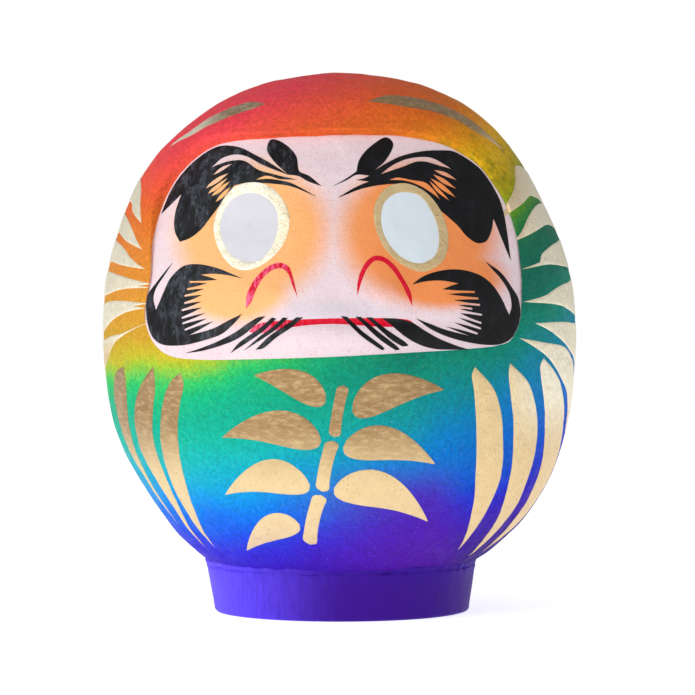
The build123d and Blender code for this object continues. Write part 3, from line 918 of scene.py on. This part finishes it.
def face_white():
    nodes = Nodes("face_white")
    base = nodes.mix(nodes.noise(14, 3), linear(240, 222, 228), linear(230, 208, 216))
    blush = None
    for middle, reach in (((-34, 166), (37, 33)), ((36, 166), (37, 33)),
                          ((-40, 143), (26, 17)), ((46, 147), (29, 15))):
        spot = nodes.band(nodes.near(middle, reach), 0.66, 1.1, 1.0, 0.0)
        blush = spot if blush is None else nodes.math("MAXIMUM", blush, spot)
    spray = nodes.times(nodes.math("SUBTRACT", nodes.noise(0.7, 3, 0.85), 0.5), 1.3)
    rim = nodes.times(nodes.band(blush, 0, 0.3), nodes.band(blush, 1.0, 0.6))
    blush = nodes.plus(blush, nodes.times(spray, rim))
    x = nodes.axes()[0]
    # The blush's orange is darker on the right: painted shade on the side away from the key light.
    orange = nodes.mix(nodes.band(x, -30, 30), linear(254, 188, 122), linear(246, 148, 84))
    colour = nodes.mix(blush, base, orange)
    shade = nodes.band(nodes.near((2, 132), (36, 7.5)), 0.25, 1.0, 0.6, 0.0)
    colour = nodes.mix(shade, colour, linear(208, 202, 214))
    specks = nodes.band(nodes.noise(0.8, 3, 0.9), 0.575, 0.66, 0, 0.7)
    colour = nodes.mix(specks, colour, linear(216, 126, 112))
    grain = nodes.bump(nodes.noise(0.9, 4, 0.7), 0.16)
    return nodes.finish(colour, 0.5, nodes.bump(nodes.noise(5, 3), 0.5, under=grain),
                        Specular_IOR_Level=0.2)


def black_lacquer():
    nodes = Nodes("black_lacquer")
    brushed = nodes.noise(1.4, 5, 0.7, stretch=(1, 1, 0.4), distortion=0.8)
    # Painted sheen: grey-blue patches along the brush strokes stand in for the key light's
    # reflection, strongest on the left.
    sheen_patches = nodes.band(nodes.noise(7, 6, 0.66, stretch=(1.6, 1, 0.7)), 0.42, 0.68)
    sheen = nodes.times(sheen_patches, nodes.band(brushed, 0.35, 0.65))
    x = nodes.axes()[0]
    sheen = nodes.times(sheen, nodes.band(x, 10, -35, 0.1, 1.0))
    colour = nodes.mix(sheen, linear(11, 12, 15), linear(84, 88, 100))
    rough = nodes.band(brushed, 0.3, 0.7, 0.3, 0.5)
    return nodes.finish(colour, rough, nodes.bump(brushed, 0.14), Specular_IOR_Level=0.22)


def gold_paint():
    """Gold paint with painted reflections: palest on the strokes round the side, as a painted
    highlight, and bronze where the belly and hood look up, as painted dark reflection.
    """
    nodes = Nodes("gold_paint")
    x, _, z = nodes.axes()
    crinkle = nodes.noise(1.5, 5, 0.65, distortion=1.2)
    folds = nodes.noise(6, 3, 0.5, distortion=0.6)
    colour = nodes.mix(nodes.noise(5, 3), linear(224, 194, 142), linear(240, 214, 164))
    # Painted highlight: the gold turns pale, standing in for the lamps' reflection, on the left
    # higher up and on the right lower down.
    pale_reflection = nodes.mix(nodes.noise(4, 3), linear(250, 236, 202), linear(255, 250, 232))
    left = nodes.times(nodes.band(x, -10, -26), nodes.band(z, 112, 124))
    right = nodes.times(nodes.band(x, 66, 92), nodes.band(z, 70, 100))
    colour = nodes.mix(nodes.math("MAXIMUM", left, right), colour, pale_reflection)
    # Painted dark reflection: the gold goes a darker bronze on the belly and hood, broken by
    # painted glints.
    belly = nodes.times(nodes.band(z, 58, 88), nodes.band(x, -104, -97))
    belly = nodes.times(belly, nodes.band(z, 118, 108))
    belly = nodes.times(belly, nodes.band(x, 59, 54))
    hood = nodes.times(nodes.band(z, 205, 214), nodes.band(x, -62, -46))
    dark_reflection = nodes.math("MAXIMUM", belly, hood)
    glints = nodes.band(nodes.noise(2.2, 6, 0.7, stretch=(0.5, 0.5, 1.5)), 0.40, 0.70, 0.92, 0.5)
    colour = nodes.mix(nodes.times(dark_reflection, glints), colour, linear(150, 114, 72))
    worn = nodes.band(nodes.noise(1.5, 5, 0.8), 0.57, 0.68, 0, 0.5)
    colour = nodes.mix(worn, colour, linear(124, 100, 58))
    rough = nodes.band(nodes.noise(1.4, 3), 0.3, 0.7, 0.36, 0.52)
    fine = nodes.bump(crinkle, 0.32)
    return nodes.finish(colour, rough, nodes.bump(folds, 0.6, under=fine), Metallic=0.65)


def eye_white():
    nodes = Nodes("eye_white")
    x = nodes.axes()[0]
    colour = nodes.mix(nodes.noise(7, 4, 0.6), linear(212, 210, 218), linear(222, 220, 226))
    cool = nodes.mix(nodes.noise(7, 4, 0.6), linear(222, 226, 236), linear(216, 232, 238))
    colour = nodes.mix(nodes.band(x, -10, 10), colour, cool)
    return nodes.finish(colour, 0.5, nodes.bump(nodes.noise(1.5, 3), 0.06), Specular_IOR_Level=0.2)


def red_line():
    nodes = Nodes("red_line")
    brushed = nodes.noise(1.6, 4, 0.6, stretch=(1, 1, 0.4))
    x = nodes.axes()[0]
    # Painted sheen: pink streaks along the brush strokes on the left-hand lines stand in for the
    # key light's reflection.
    pale = nodes.times(nodes.band(brushed, 0.4, 0.65), nodes.band(x, -8, -26, 0.1, 1))
    colour = nodes.mix(pale, linear(214, 8, 40), linear(250, 110, 152))
    return nodes.finish(colour, 0.45, nodes.bump(brushed, 0.07), Specular_IOR_Level=0.12)


def hidden_material(name, colour, roughness, size):
    nodes = Nodes(name)
    shade = nodes.mix(nodes.noise(size, 4, 0.7), linear(*colour),
                      linear(*(0.8 * c for c in colour)))
    return nodes.finish(shade, roughness, nodes.bump(nodes.noise(size / 3, 3), 0.1))


def floor_material():
    nodes = Nodes("pale_floor")
    colour = nodes.mix(nodes.noise(300, 2), linear(246, 246, 247), linear(250, 250, 250))
    return nodes.finish(colour, 0.8, Emission_Color=(1, 1, 1, 1), Emission_Strength=0.72)


# ------------------------------------------------------------ build the doll
rainbow = rainbow_paint()
gold = gold_paint()
black = black_lacquer()
red = red_line()

make_body(rainbow)
make_foot(foot_paint())
make_strip(hidden_material("kraft_paper", (176, 150, 112), 0.8, 3))
film("face_ground", [face_edge[:-1]], face_white(), GROUND)

eye_paint = eye_white()
for side, ring_out, ring_in in (("left", eye_ring_out_left, eye_ring_in_left),
                                ("right", eye_ring_out_right, eye_ring_in_right)):
    film(f"eye_{side}", [grown(ring_in, 0.6)], eye_paint, PALE_COAT, GROUND)
    film(f"eye_ring_{side}", [ring_out], gold, RING_COAT, GROUND + PALE_COAT,
         [ring_in], crinkle=0.03)

for name, line in (("mouth_line", mouth), ("nostril_line_left", nostril_left),
                   ("nostril_line_right", nostril_right)):
    film(name, [line], red, PALE_COAT, GROUND)
for name, loops, slits in (("brow_left", [brow_left], slits_left),
                           ("brow_right", [brow_right], slits_right),
                           ("whisker_left", [whisker_left], ()),
                           ("whisker_right", [whisker_right], ()),
                           ("moustache_left", moustache_left, ()),
                           ("moustache_right", moustache_right, ())):
    film(name, loops, black, DARK_COAT, GROUND + PALE_COAT, slits)

for name, loops, relief in (
        ("gold_rays_left", rays_left, 0.07), ("gold_rays_right", rays_right, 0.04),
        ("gold_ribs_left", ribs_left, 0.07), ("gold_ribs_right", ribs_right, 0.03),
        ("hood_gold_left", hood_left, 0.06), ("hood_gold_right", hood_right, 0.04)):
    film(name, loops, gold, GOLD_COAT, chart="side", crinkle=relief)
film("belly_sprig", sprig, gold, GOLD_COAT, crinkle=0.06)

for node, material in (
    ("base_weight", hidden_material("dry_clay", (160, 132, 108), 0.9, 2)),
    ("base_board", hidden_material("grey_board", (158, 136, 104), 0.85, 1.5)),
    ("base_seal", hidden_material("pasted_paper", (204, 198, 184), 0.75, 2.5)),
):
    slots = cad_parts[node].data.materials
    slots.clear()
    slots.append(material)


# ------------------------------------------------------------ stage, light and camera
def make_floor():
    size = 4.0
    mesh = bpy.data.meshes.new("floor")
    mesh.from_pydata([(-size, -size, 0), (size, -size, 0), (size, size, 0), (-size, size, 0)], [],
                     [(0, 1, 2, 3)])
    mesh.materials.append(floor_material())
    put_in_scene("floor", mesh)


def make_light(name, place, aim, size, power):
    light = bpy.data.lights.new(name, "AREA")
    light.shape = "DISK"
    light.size = size
    light.energy = power
    lamp = put_in_scene(name, light)
    lamp.location = place
    lamp.rotation_euler = (Vector(aim) - Vector(place)).to_track_quat("-Z", "Y").to_euler()


make_floor()
middle = Vector((0, 0, 0.5 * TOP * MM))
make_light("key", (-1.0, -1.0, 0.7), middle, 0.9, 9.5)
make_light("fill", (1.0, -1.3, 0.5), middle, 1.2, 1.5)

world = bpy.data.worlds.new("studio")
world.use_nodes = True
sky = world.node_tree
direction = sky.nodes.new("ShaderNodeTexCoord").outputs["Generated"]
climb = sky.nodes.new("ShaderNodeSeparateXYZ")
sky.links.new(direction, climb.inputs[0])
dimming = sky.nodes.new("ShaderNodeMapRange")
for value, socket in zip((0.1, 0.95, 0.46, 0.36), list(dimming.inputs)[1:5]):
    socket.default_value = value
sky.links.new(climb.outputs["Z"], dimming.inputs[0])
seen = sky.nodes.new("ShaderNodeMix")
sky.links.new(sky.nodes.new("ShaderNodeLightPath").outputs["Is Camera Ray"], seen.inputs[0])
sky.links.new(dimming.outputs[0], seen.inputs[2])
seen.inputs[3].default_value = 1.0
sky.links.new(seen.outputs[0], sky.nodes["Background"].inputs["Strength"])
sky.nodes["Background"].inputs["Color"].default_value = (1, 1, 1, 1)
bpy.context.scene.world = world
bpy.context.scene.view_settings.view_transform = "Standard"

camera_data = bpy.data.cameras.new("camera")
camera_data.lens = 141.2
camera_data.sensor_width = 36.0
camera = put_in_scene("camera", camera_data)
turn = radians(2.0)
distance, aside, level = 1.224, 0.00337, 0.1176
camera.location = (distance * sin(turn) + aside * cos(turn),
                   -distance * cos(turn) + aside * sin(turn), level)
camera.rotation_euler = (pi / 2, 0, turn)
bpy.context.scene.camera = camera
